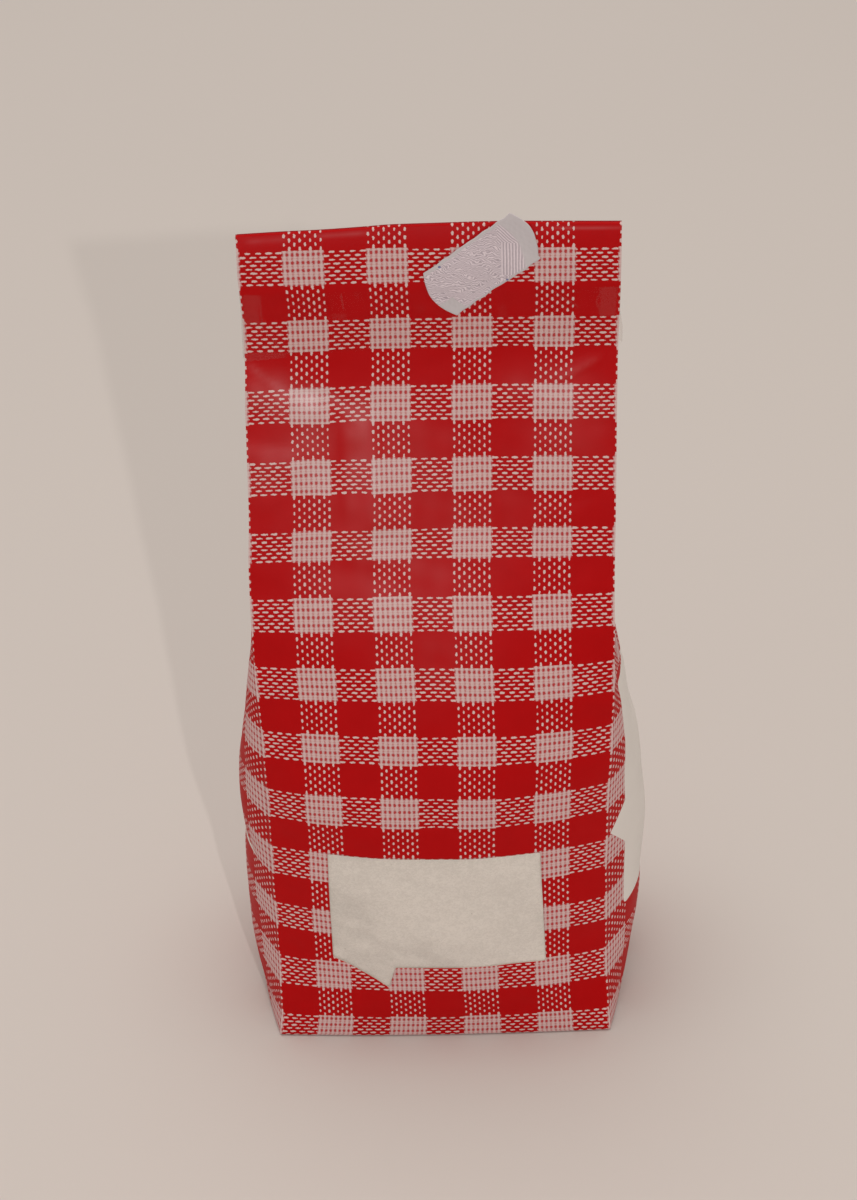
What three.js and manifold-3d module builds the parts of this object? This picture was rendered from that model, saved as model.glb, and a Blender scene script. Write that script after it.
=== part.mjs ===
// A side-gusset paper bag of sea salt, folded over at the top and held with clear tape.
// Units are mm, +Z is up, the shown front panel faces -Y, the origin is the centre of the base.
import * as THREE from "three";
import Module from "manifold-3d";

const wasm = await Module();
wasm.setup();

// driving dimensions
const printRepeat = 17.48; // one repeat of the check print, up and across
const panelRepeats = 2.288; // repeats from the middle of the front panel to its crease
const baseRepeat = 12.15; // repeats from the first white row down to the base fold
const paperHeight = 221.5; // the front panel, along the paper, from the base to the top fold
const wallThickness = 0.8; // the bag's paper, thickened so that it stays a solid wall
const saltInset = 1.1; // the salt's side under the bag's outer face
const saltLevel = 88; // how high the salt stands
const leafThickness = 0.9; // a flattened crease in the empty upper half
const flapLength = 23; // the folded-over top, hanging at the back
const flapThickness = 1.5;
const flapGap = 0.5; // between the flap and the back panel
const flapLean = 0.9; // how far the flap's end stands further back than its start
const foldHeight = 3.4; // the closed strip along the top edge
const rollRise = 2.0; // the round of the fold
const tapeTop = 15; // the tape's edges under the top fold
const tapeBottom = 30.4;
const tapeThickness = 0.3;
const tapeSlack = 0.9; // the tape stands off the back of the bag by this much
const tapeStep = 2.5; // where the tape comes down from the flap's end to the back panel
const clearGap = 0.3; // between two pieces
const filmOuter = 0.2; // the window film lies between these depths
const filmInner = 0.55;

// a prism that cuts the front wall reaches from one of these to the other
const beforeFront = -50;
const insideFront = -26;

// tables against the height along the paper, [height, value]
const creaseY = curve([
  [0, -25.8], [28, -26.1], [56, -27.1], [83, -28.1], [111, -27.5],
  [139, -24.9], [167, -22.1], [194.5, -19.9], [222, -19.3],
]);
const frontBulge = curve([
  [0, 2.5], [17, 4.7], [37, 6.1], [56, 6.1], [74, 5.2], [93, 3.5],
  [111, 1.7], [130, 0.2], [148, -0.8], [185, -0.8], [206, -0.2], [222, 0],
]);
const leftEdge = curve([
  [0, 38.4], [37, 38.7], [74, 39.2], [111, 39.7], [148, 39.8], [185, 39.7], [222, 39.6],
]);
const rightEdge = curve([
  [0, 39.7], [37, 39.7], [74, 39.7], [111, 39.9], [148, 40.0], [222, 40.1],
]);
const depth = curve([
  [0, 50.5], [34, 50], [67, 48.4], [84, 45.5], [101, 36.2], [118, 22.7],
  [135, 11.8], [156, 6.3], [181, 4.2], [222, 3.2],
]);
const leftOut = curve([
  [0, 2.1], [10, 5.1], [25, 7.2], [50, 7.4], [72, 6.6], [84, 4.2],
  [97, -1.7], [110, -11], [122, -19.4], [135, -24], [156, -24.9], [222, -25.1],
]);
const rightOut = curve([
  [0, 2.9], [10, 6.7], [25, 9.6], [50, 10.4], [72, 9.4], [84, 6.3],
  [97, 0], [110, -10.1], [122, -19.4], [135, -24], [156, -24.9], [222, -25.1],
]);
const gussetLobe = curve([
  [0, 0], [72, 0], [84, 0.8], [99, 2.0], [118, 1.0], [135, 0], [222, 0],
]);
const backBulgeShare = 0.75; // the back panel bulges this much of what the front does

// the window, in print repeats: [across from the middle, down from the first white row]
const windowOutline = [
  [-1.49, 8.78], [-1.49, 10.645], [-1.265, 10.76], [-0.965, 10.98], [-0.736, 11.18],
  [-0.64, 10.79], [1.41, 10.79], [1.345, 8.78],
];

// the price label, seen from the front: its middle (x, z), its turn and its size
const labelMiddle = [11.3, 210.9];
const labelTurn = 38;
const labelLength = 22.6; // between the corners, without the bowed ends
const labelWidth = 12.6;
const labelBow = 2.1;
const labelThickness = 0.3;

// a smooth curve through a table, which never overshoots it
function curve(table) {
  const count = table.length;
  const slopes = [];
  const rise = (i) => (table[i + 1][1] - table[i][1]) / (table[i + 1][0] - table[i][0]);
  for (let i = 0; i < count; i += 1) {
    if (i === 0) {
      slopes.push(rise(0));
    } else if (i === count - 1) {
      slopes.push(rise(count - 2));
    } else if (rise(i - 1) * rise(i) <= 0) {
      slopes.push(0);
    } else {
      const before = table[i][0] - table[i - 1][0];
      const after = table[i + 1][0] - table[i][0];
      const nearAfter = 2 * after + before;
      const nearBefore = after + 2 * before;
      slopes.push((nearAfter + nearBefore) / (nearAfter / rise(i - 1) + nearBefore / rise(i)));
    }
  }
  return (at) => {
    const t = Math.min(Math.max(at, table[0][0]), table[count - 1][0]);
    let i = 0;
    while (i < count - 2 && t > table[i + 1][0]) {
      i += 1;
    }
    const span = table[i + 1][0] - table[i][0];
    const x = (t - table[i][0]) / span;
    const start = (1 + 2 * x) * (1 - x) ** 2 * table[i][1] + x * (1 - x) ** 2 * span * slopes[i];
    const end = x * x * (3 - 2 * x) * table[i + 1][1] + x * x * (x - 1) * span * slopes[i + 1];
    return start + end;
  };
}

// the crease runs up along the paper, so the height above the base is summed over its lean
const heightStep = 0.5;
const heights = [0];
for (let i = 0; i * heightStep < paperHeight + 1; i += 1) {
  const lean = (creaseY((i + 1) * heightStep) - creaseY(i * heightStep)) / heightStep;
  heights.push(heights[i] + heightStep * Math.sqrt(1 - lean * lean));
}

function heightAt(along) {
  const place = Math.min(Math.max(along / heightStep, 0), heights.length - 2);
  const i = Math.floor(place);
  return heights[i] + (heights[i + 1] - heights[i]) * (place - i);
}

function alongAt(height) {
  let low = 0;
  let high = paperHeight;
  for (let i = 0; i < 40; i += 1) {
    const middle = (low + high) / 2;
    if (heightAt(middle) < height) {
      low = middle;
    } else {
      high = middle;
    }
  }
  return (low + high) / 2;
}

// a place on the front panel, from its share across (-1 to 1) and its height along the paper
function frontX(share, along) {
  const half = (leftEdge(along) + rightEdge(along)) / 2;
  return rightEdge(along) - half + half * share;
}

function frontY(share, along) {
  return creaseY(along) - frontBulge(along) * (1 - share * share);
}

// one ring of the bag's outer face, anticlockwise from above
const frontSteps = 18;
const gussetSteps = 12;
const backSteps = 14;

function gussetPoint(side, share, along) {
  const out = (side > 0 ? rightOut : leftOut)(along);
  const edge = (side > 0 ? rightEdge : leftEdge)(along);
  const full = THREE.MathUtils.clamp((out + 2) / 6, 0, 1);
  const arc = 1 - (2 * share - 1) ** 2;
  const fold = 1 - Math.abs(2 * share - 1);
  const lobe = gussetLobe(along) * Math.sin(2 * Math.PI * share) ** 2;
  const x = edge + out * (arc * full + fold * (1 - full)) + lobe;
  const y = creaseY(along) + leafThickness + (depth(along) - 2 * leafThickness) * share;
  return [side * x, y];
}

function ring(along) {
  const points = [];
  for (let i = 0; i <= frontSteps; i += 1) {
    const share = -1 + (2 * i) / frontSteps;
    points.push([frontX(share, along), frontY(share, along)]);
  }
  for (let i = 0; i <= gussetSteps; i += 1) {
    points.push(gussetPoint(1, i / gussetSteps, along));
  }
  for (let i = 0; i <= backSteps; i += 1) {
    const share = 1 - (2 * i) / backSteps;
    const bulge = backBulgeShare * Math.max(frontBulge(along), 0) * (1 - share * share);
    points.push([frontX(share, along), creaseY(along) + depth(along) + bulge]);
  }
  for (let i = 0; i <= gussetSteps; i += 1) {
    points.push(gussetPoint(-1, 1 - i / gussetSteps, along));
  }
  return points;
}

// moves every side of a ring inwards by the same amount
function insetRing(points, amount) {
  const count = points.length;
  return points.map((point, i) => {
    const before = points[(i + count - 1) % count];
    const after = points[(i + 1) % count];
    const first = new THREE.Vector2(point[0] - before[0], point[1] - before[1]).normalize();
    const second = new THREE.Vector2(after[0] - point[0], after[1] - point[1]).normalize();
    const inward = new THREE.Vector2(-first.y - second.y, first.x + second.x).normalize();
    const reach = amount / Math.max(inward.dot(new THREE.Vector2(-first.y, first.x)), 0.4);
    return [point[0] + inward.x * reach, point[1] + inward.y * reach];
  });
}

// a closed solid from rings of equal length, each with its own height
function loft(rings, levels) {
  const count = rings[0].length;
  const vertices = [];
  const triangles = [];
  rings.forEach((points, level) => {
    points.forEach(([x, y]) => vertices.push(x, y, levels[level]));
  });
  for (let level = 0; level < rings.length - 1; level += 1) {
    for (let i = 0; i < count; i += 1) {
      const next = (i + 1) % count;
      const a = level * count + i;
      const b = level * count + next;
      triangles.push(a, b, b + count, a, b + count, a + count);
    }
  }
  const flat = (points) => points.map(([x, y]) => new THREE.Vector2(x, y));
  const last = (rings.length - 1) * count;
  THREE.ShapeUtils.triangulateShape(flat(rings[0]), []).forEach(([a, b, c]) => {
    triangles.push(a, c, b);
  });
  THREE.ShapeUtils.triangulateShape(flat(rings[rings.length - 1]), []).forEach(([a, b, c]) => {
    triangles.push(last + a, last + b, last + c);
  });
  return solid(vertices, triangles);
}

function solid(vertices, triangles) {
  return new wasm.Manifold(new wasm.Mesh({
    numProp: 3,
    vertProperties: new Float32Array(vertices),
    triVerts: new Uint32Array(triangles),
  }));
}

// the bag's outer body, or a body a little inside it, between two heights above the base
function bagBody(amount, low, high, steps) {
  const rings = [];
  const levels = [];
  for (let i = 0; i <= steps; i += 1) {
    const level = low + ((high - low) * i) / steps;
    rings.push(insetRing(ring(alongAt(level)), amount));
    levels.push(level);
  }
  return loft(rings, levels);
}

// an outline in the plane of X and Z, pushed through from one Y to another
function frontPrism(outline, from, to) {
  const count = outline.length;
  const vertices = [];
  const triangles = [];
  outline.forEach(([x, z]) => vertices.push(x, from, z));
  outline.forEach(([x, z]) => vertices.push(x, to, z));
  const flat = outline.map(([x, z]) => new THREE.Vector2(x, z));
  THREE.ShapeUtils.triangulateShape(flat, []).forEach(([a, b, c]) => {
    triangles.push(a, b, c, count + a, count + c, count + b);
  });
  for (let i = 0; i < count; i += 1) {
    const next = (i + 1) % count;
    triangles.push(i, count + next, next, i, count + i, count + next);
  }
  return solid(vertices, triangles);
}

// the window's outline in X and Z, anticlockwise from the front
function windowAt() {
  return windowOutline.map(([across, down]) => {
    const along = (baseRepeat - down) * printRepeat;
    return [frontX(across / panelRepeats, along), heightAt(along)];
  });
}

const topHeight = heightAt(paperHeight);
const topFront = creaseY(paperHeight);
const topDepth = depth(paperHeight);

// the rolled top edge and the flap behind it, as one strip across the bag
function foldAndFlap() {
  const flapFrontY = topFront + topDepth + flapGap;
  const flapBackY = flapFrontY + flapThickness;
  const roll = [];
  const middleY = (topFront + flapBackY) / 2;
  const halfY = (flapBackY - topFront) / 2;
  for (let i = 0; i <= 10; i += 1) {
    const turn = (Math.PI * i) / 10;
    roll.push([middleY + halfY * Math.cos(turn), topHeight - rollRise * (1 - Math.sin(turn) ** 0.8)]);
  }
  const flapEnd = topHeight - flapLength;
  const profile = [
    [topFront + 0.05, topHeight - foldHeight],
    [topFront + topDepth - 0.2, topHeight - foldHeight],
    [flapFrontY, topHeight - foldHeight],
    [flapFrontY + flapLean, flapEnd],
    [flapBackY + flapLean, flapEnd],
    ...roll,
  ];
  const left = -leftEdge(paperHeight);
  const right = rightEdge(paperHeight);
  const count = profile.length;
  const vertices = [];
  const triangles = [];
  profile.forEach(([y, z]) => vertices.push(left, y, z));
  profile.forEach(([y, z]) => vertices.push(right, y, z));
  const flat = profile.map(([y, z]) => new THREE.Vector2(y, z));
  THREE.ShapeUtils.triangulateShape(flat, []).forEach(([a, b, c]) => {
    triangles.push(a, c, b, count + a, count + b, count + c);
  });
  for (let i = 0; i < count; i += 1) {
    const next = (i + 1) % count;
    triangles.push(i, next, count + next, i, count + next, count + i);
  }
  return solid(vertices, triangles);
}

// the tape, a thin band round the front panel, both edges and the flap
function tapeBand() {
  const flapDepth = flapGap + flapThickness;
  const flapEnd = topHeight - flapLength;
  const sections = [
    { level: topHeight - tapeBottom, behind: 0 },
    { level: flapEnd - tapeStep, behind: 0 },
    { level: flapEnd - clearGap, behind: flapDepth + clearGap },
    { level: topHeight - tapeTop, behind: flapDepth },
  ];
  const bandRing = (section, offset) => {
    const along = alongAt(section.level);
    const reach = 1 + offset / rightEdge(along);
    const backY = creaseY(along) + depth(along) + section.behind + tapeSlack + offset;
    const points = [];
    for (let i = 0; i <= frontSteps; i += 1) {
      const share = -1 + (2 * i) / frontSteps;
      points.push([frontX(share * reach, along), frontY(share, along) - offset]);
    }
    for (let i = 0; i <= backSteps; i += 1) {
      const share = 1 - (2 * i) / backSteps;
      points.push([frontX(share * reach, along), backY]);
    }
    return points;
  };
  const band = (offset, overrun) => loft(
    sections.map((section) => bandRing(section, offset)),
    sections.map(({ level }, k) => level + overrun * (k === 0 ? -1 : Number(k === 3))),
  );
  return band(clearGap + tapeThickness, 0).subtract(band(clearGap, 1));
}

// the price label, stuck askew over the top edge
function priceLabel() {
  const outline = [];
  const half = labelLength / 2;
  const turn = THREE.MathUtils.degToRad(labelTurn);
  const ends = [[1, -1, 1], [-1, 1, -1]];
  ends.forEach(([side, from, to]) => {
    for (let i = 0; i <= 6; i += 1) {
      const across = ((from + ((to - from) * i) / 6) * labelWidth) / 2;
      const bow = labelBow * (1 - (2 * across / labelWidth) ** 2);
      const x = side * (half + bow);
      outline.push([
        labelMiddle[0] + x * Math.cos(turn) - across * Math.sin(turn),
        labelMiddle[1] + x * Math.sin(turn) + across * Math.cos(turn),
      ]);
    }
  });
  const gap = clearGap + tapeThickness + clearGap;
  const front = (x, z) => frontY(Math.min(Math.abs(x) / rightEdge(paperHeight), 1), alongAt(z)) - gap;
  return frontPrism(outline, -labelThickness, 0).warp((vertex) => {
    vertex[1] += front(vertex[0], vertex[2]);
  });
}

function windowFilm() {
  const outline = insetRing(windowAt(), clearGap);
  const shell = bagBody(filmOuter, 5, 75, 20).subtract(bagBody(filmInner, 4, 76, 20));
  return shell.intersect(frontPrism(outline, beforeFront, insideFront));
}

function bag() {
  const rings = [];
  const levels = [];
  const steps = 36;
  const top = topHeight - foldHeight + 0.2;
  for (let i = 0; i <= steps; i += 1) {
    const level = (top * i) / steps;
    rings.push(ring(alongAt(level)));
    levels.push(level);
  }
  const outer = loft(rings, levels).add(foldAndFlap());
  const cavity = bagBody(wallThickness, wallThickness, saltLevel + clearGap, 15);
  return outer.subtract(cavity).subtract(frontPrism(windowAt(), beforeFront, insideFront));
}

function salt() {
  return bagBody(saltInset, saltInset, saltLevel, 15);
}

function named(name, body, colour, roughness, opacity = 1) {
  const mesh = body.getMesh();
  const geometry = new THREE.BufferGeometry();
  geometry.setAttribute("position", new THREE.BufferAttribute(mesh.vertProperties, 3));
  geometry.setIndex(new THREE.BufferAttribute(mesh.triVerts, 1));
  geometry.computeVertexNormals();
  const material = new THREE.MeshStandardMaterial({ color: colour, roughness, metalness: 0 });
  material.name = name;
  material.transparent = opacity < 1;
  material.opacity = opacity;
  const node = new THREE.Mesh(geometry, material);
  node.name = name;
  return node;
}

const group = new THREE.Group();
group.add(named("bag", bag(), 0xb01820, 0.35));
group.add(named("salt", salt(), 0xe9e4dc, 0.9));
group.add(named("window_film", windowFilm(), 0xf2f0ea, 0.1, 0.3));
group.add(named("tape", tapeBand(), 0xe8e4da, 0.2, 0.35));
group.add(named("price_label", priceLabel(), 0xd8d2de, 0.7));

export default group;
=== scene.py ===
import math
import bpy
import numpy as np
from mathutils import Matrix, Vector
from mathutils.geometry import delaunay_2d_cdt


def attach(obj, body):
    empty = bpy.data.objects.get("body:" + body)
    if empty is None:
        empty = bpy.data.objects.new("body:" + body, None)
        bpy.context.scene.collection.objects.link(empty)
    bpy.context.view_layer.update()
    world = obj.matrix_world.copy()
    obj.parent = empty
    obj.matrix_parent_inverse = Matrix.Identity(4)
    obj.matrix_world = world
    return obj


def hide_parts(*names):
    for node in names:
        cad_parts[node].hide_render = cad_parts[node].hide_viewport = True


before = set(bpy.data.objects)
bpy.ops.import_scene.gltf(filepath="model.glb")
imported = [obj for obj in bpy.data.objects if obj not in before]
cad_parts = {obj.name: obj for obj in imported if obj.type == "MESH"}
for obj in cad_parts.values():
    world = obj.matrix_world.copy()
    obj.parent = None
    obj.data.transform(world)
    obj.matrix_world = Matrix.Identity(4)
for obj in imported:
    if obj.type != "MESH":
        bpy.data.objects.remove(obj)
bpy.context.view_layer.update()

# ---- the printed paper bag
# A side-gusset bag of thin glazed paper, printed with a red and white woven check. It is glued
# down the middle of the back, folded into a block bottom, full of salt in its lower half,
# flat above, and its top is rolled over to the back once and hangs there as a short flap.
MM = 0.001
PRINT_REPEAT = 17.48  # mm, one repeat of the check
PANEL_REPEATS = 2.288  # from the middle of the front or back to its crease
GUSSET_REPEATS = 2.89
BASE_REPEAT = 12.15  # from the first white row of the print down to the base fold
LEAF = 0.35  # mm, half of what a flattened crease is thick
PAPER_THICKNESS = 0.16
BASE_RADIUS = 0.8
BASE_LAYER = 0.3  # one folded layer of the block bottom under the next
BASE_FLAP = 30.5
GUSSET_HALF, PANEL_HALF = 25.2, 39  # mm, half of each side of the base
ROLL_RADIUS = 0.5  # of the top fold
INNER_ROLL_RADIUS = 0.12  # of the innermost layer
ROLL_END = 222.6  # along the paper, above where the top fold begins anywhere
ROLL_EASE, ROLL_EASE_LENGTH = 0.25, 4.5  # the soft lean backwards just before the top fold
FLAP_HANG = 22.2
FLAP_LEAN = 1.2
FLAP_SET_BACK = 0.8  # so that the flap hangs clear behind the back panel
FLAP_WAVE = 0.35
FLAP_TAPER = 0.022
SEAM_OVERLAP = 0.42  # repeats
SEAM_LIFT = 0.3
BACK_BULGE = 0.75  # of the front's bulge
POCKET_REACH = 0.55  # of the side fold's width, from its front crease


def curve(*table):
    """A smooth curve through (along, value) pairs, which never overshoots them."""
    at, value = np.array(table, float).T
    gap = np.diff(at)
    rise = np.diff(value) / gap
    slope = np.zeros(len(at))
    slope[0], slope[-1] = rise[0], rise[-1]
    near_after = 2 * gap[1:] + gap[:-1]
    near_before = gap[1:] + 2 * gap[:-1]
    for k in range(len(gap) - 1):
        if rise[k] * rise[k + 1] > 0:
            weight = near_after[k] / rise[k] + near_before[k] / rise[k + 1]
            slope[k + 1] = (near_after[k] + near_before[k]) / weight

    def read(along):
        t = np.clip(along, at[0], at[-1])
        k = np.clip(np.searchsorted(at, t, side="left") - 1, 0, len(gap) - 1)
        x = (t - at[k]) / gap[k]
        start = (1 + 2 * x) * (1 - x) ** 2 * value[k] + x * (1 - x) ** 2 * gap[k] * slope[k]
        end = x * x * (3 - 2 * x) * value[k + 1] + x * x * (x - 1) * gap[k] * slope[k + 1]
        return start + end

    return read


# the shape of the bag from the side and the front, each against the height along the paper, in mm
crease_y = curve(
    (0, -25.8), (28, -26.1), (56, -27.1), (83, -28.1), (111, -27.5),
    (139, -24.9), (167, -22.1), (194.5, -19.9), (222, -19.3))
front_bulge = curve(
    (0, 2.5), (17, 4.7), (37, 6.1), (56, 6.1), (74, 5.2), (93, 3.5),
    (111, 1.7), (130, 0.2), (148, -0.8), (185, -0.8), (206, -0.2), (222, 0))
left_edge = curve(
    (0, 38.5), (8, 37.7), (20, 37.9), (37, 38.2), (74, 38.8), (100, 39.7), (113, 40.4),
    (135, 40.5), (152, 39.9), (176, 39.7), (190, 39.3), (200, 39.4), (212, 40.0), (222, 40.0))
right_edge = curve(
    (0, 40.5), (20, 39.4), (37, 39.2), (56, 39.0), (74, 39.2), (92, 39.9), (111, 40.2),
    (130, 39.9), (148, 40.0), (185, 40.1), (210, 40.5), (222, 40.5))
bag_depth = curve(
    (0, 50.5), (34, 50), (67, 48.4), (84, 45.5), (101, 36.2), (118, 22.7),
    (135, 11.8), (156, 6.3), (175, 3.6), (195, 1.6), (222, 0.95))
# how far the side fold's middle stands out from its creases, or in between the panels
left_out = curve(
    (0, 3.6), (10, 6.4), (25, 7.4), (50, 6.6), (72, 6.2), (84, 3.8),
    (97, 0.8), (110, -9.8), (122, -21.9), (135, -24), (156, -24.9), (222, -25.1))
right_out = curve(
    (0, 3.6), (10, 6.6), (25, 8.9), (50, 9.9), (72, 8.1), (84, 5.1),
    (97, 2.8), (110, 0.3), (122, -16.2), (135, -24), (156, -24.9), (222, -25.1))
# how far the front's base edge stands forward of the crease above it: left, middle and right
toe_left = curve((0, 2.1), (3, 1.8), (7, 1.2), (15.7, 0.8), (26, 0.2), (35, 0))
toe_middle = curve((0, 0.75), (10, 0.3), (20, 0))
toe_right = curve((0, 2.6), (7, 1.6), (15.7, 0.5), (24, 0))
# where the top fold begins, along the paper, across the bag: a little lower at its left end
fold_line = curve(
    (-39.8, 220.0), (-29.8, 220.45), (-21.9, 220.65), (-12.8, 221.0), (-8.6, 221.3),
    (-1.1, 221.55), (11.6, 221.95), (22.2, 222.1), (39.7, 221.8))
# how far the taped top leans forwards again at its upper end, across the bag
top_lean = curve((-40, 1.0), (-26, 0.9), (-9, 0.5), (9, 0.9), (26, 1.5), (40, 1.6))
# the right of the front swells a little above the salt
right_swell = curve((0, 0), (55, 0), (72, 0.9), (90, 1.1), (107, 1.0), (125, 0.3), (140, 0))
# how far the printed columns near the creases are drawn outwards
spread = curve((0, 1.3), (60, 1.2), (90, 1.1), (111, 0), (222, 0))
# how far the paper just behind a front crease bulges out besides
pocket_left = curve(
    (20, 0), (45, 1.0), (60, 1.8), (72, 1.9), (84, 2.5), (97, 2.8), (106, 3.6), (118, 4.5), (135, 0))
pocket_right = curve((60, 0), (72, 0.2), (84, 1.2), (97, 0.6), (106, -0.6), (118, -0.5), (135, 0))

steps = np.arange(0, 225, 0.5)
leans = np.diff(crease_y(steps)) / 0.5
step_heights = np.concatenate([[0], np.cumsum(0.5 * np.sqrt(1 - leans ** 2))])


def height_at(along):
    return np.interp(along, steps, step_heights)


def smooth_step(low, high, value):
    x = np.clip((value - low) / (high - low), 0, 1)
    return x * x * (3 - 2 * x)


def crumple(x, y, seed, size):
    """Soft uneven waves of handled paper, about 1 high, from seeded directions."""
    draw = np.random.default_rng(seed)
    total = 0
    for _ in range(12):
        turn, wave, phase = draw.uniform(0, math.tau), size * draw.uniform(0.6, 1.7), draw.uniform(0, math.tau)
        total = total + np.sin(math.tau * (x * math.cos(turn) + y * math.sin(turn)) / wave + phase)
    return total / math.sqrt(12)


def ridge(x, y, start, end, width):
    """1 along a straight crease, fading to 0 at its width and its ends."""
    (x0, y0), (x1, y1) = start, end
    length = math.hypot(x1 - x0, y1 - y0)
    ux, uy = (x1 - x0) / length, (y1 - y0) / length
    along = (x - x0) * ux + (y - y0) * uy
    off = np.abs((x - x0) * uy - (y - y0) * ux)
    fade = smooth_step(-0.1 * length, 0.25 * length, along) * smooth_step(1.1 * length, 0.75 * length, along)
    return np.clip(1 - off / width, 0, 1) ** 1.5 * fade


def step(x, y, start, end, steep, slow):
    """A rise along the lower left of a straight crease, which sinks away slowly beyond it."""
    (x0, y0), (x1, y1) = start, end
    length = math.hypot(x1 - x0, y1 - y0)
    ux, uy = (x1 - x0) / length, (y1 - y0) / length
    along = (x - x0) * ux + (y - y0) * uy
    off = (x - x0) * uy - (y - y0) * ux
    fade = smooth_step(-0.15 * length, 0.2 * length, along) * smooth_step(1.15 * length, 0.8 * length, along)
    return smooth_step(0, steep, off) * smooth_step(steep + slow, steep, off) * fade


# dents of the flat upper half: start, end, steep width, slow width, height to the front, all mm
UPPER_DENTS = [
    ((-41, 190.5), (-31, 181.2), 3.6, 9, 0.5), ((-33, 182), (-20, 179), 3.0, 8, 0.3),
    ((-24, 181), (-13, 171), 3.0, 8, 0.4), ((-42, 171), (-27, 166.5), 3.6, 8, 0.35),
    ((12, 183.5), (35, 180.5), 3.5, 8, 0.12), ((24, 172.5), (40, 171.5), 3.5, 8, 0.1),
    ((-22, 158), (0, 153), 4.5, 9, 0.25), ((-26, 137), (-8, 133), 4.5, 8, 0.1), ((0, 133), (14, 129), 4.0, 8, 0.1),
]
# its ridges: start, end, width, height
UPPER_RIDGES = [
    ((36.5, 188.5), (25, 182), 2.4, 0.3), ((-12.5, 172), (-13.5, 146), 3.6, 0.25),
    ((-22, 170), (-23, 150), 3.0, 0.2), ((11, 182), (10, 152), 4.0, -0.25),
    ((-8, 150), (-24, 143), 4.0, 0.2), ((20, 145), (36, 152), 4.0, 0.2),
]


def upper_relief(x, along):
    """How far the flat upper half stands towards the front, all its layers together."""
    total = 0.14 * crumple(x, along, 11, 34) + 0.04 * crumple(x, along, 12, 11)
    for start, end, steep, slow, rise in UPPER_DENTS:
        total = total + rise * step(x, along, start, end, steep, slow)
    for start, end, width, rise in UPPER_RIDGES:
        total = total + rise * ridge(x, along, start, end, width)
    return total * smooth_step(112, 140, along) * (1 - 0.85 * smooth_step(190, 200, along))


def lower_relief(u, along):
    """How far the filled lower half stands out along its normal, with the folds of its sides."""
    around = np.abs(u)
    gusset = smooth_step(2.2, 2.5, around) * (1 - smooth_step(4.95, 5.25, around))
    across = around - PANEL_REPEATS - GUSSET_REPEATS / 2
    round_mm = u * PRINT_REPEAT
    total = 0.16 * crumple(round_mm, along, 21, 26) + 0.04 * crumple(round_mm, along, 22, 8)
    fold = -0.35 * np.clip(1 - np.abs(across) * PRINT_REPEAT / 1.6, 0, 1) * smooth_step(20, 30, along)
    slant = np.abs(np.abs(across) * PRINT_REPEAT - (25 - along))
    fold = fold - 0.22 * np.clip(1 - slant / 1.5, 0, 1) * (along < 26)
    band = -0.14 * np.clip(1 - np.abs(along - 25.5) / 1.4, 0, 1) * (around > PANEL_REPEATS + 0.1)
    calm = smooth_step(2, 10, along) * (1 - smooth_step(105, 128, along))
    return (total + fold * gusset + band) * calm


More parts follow.
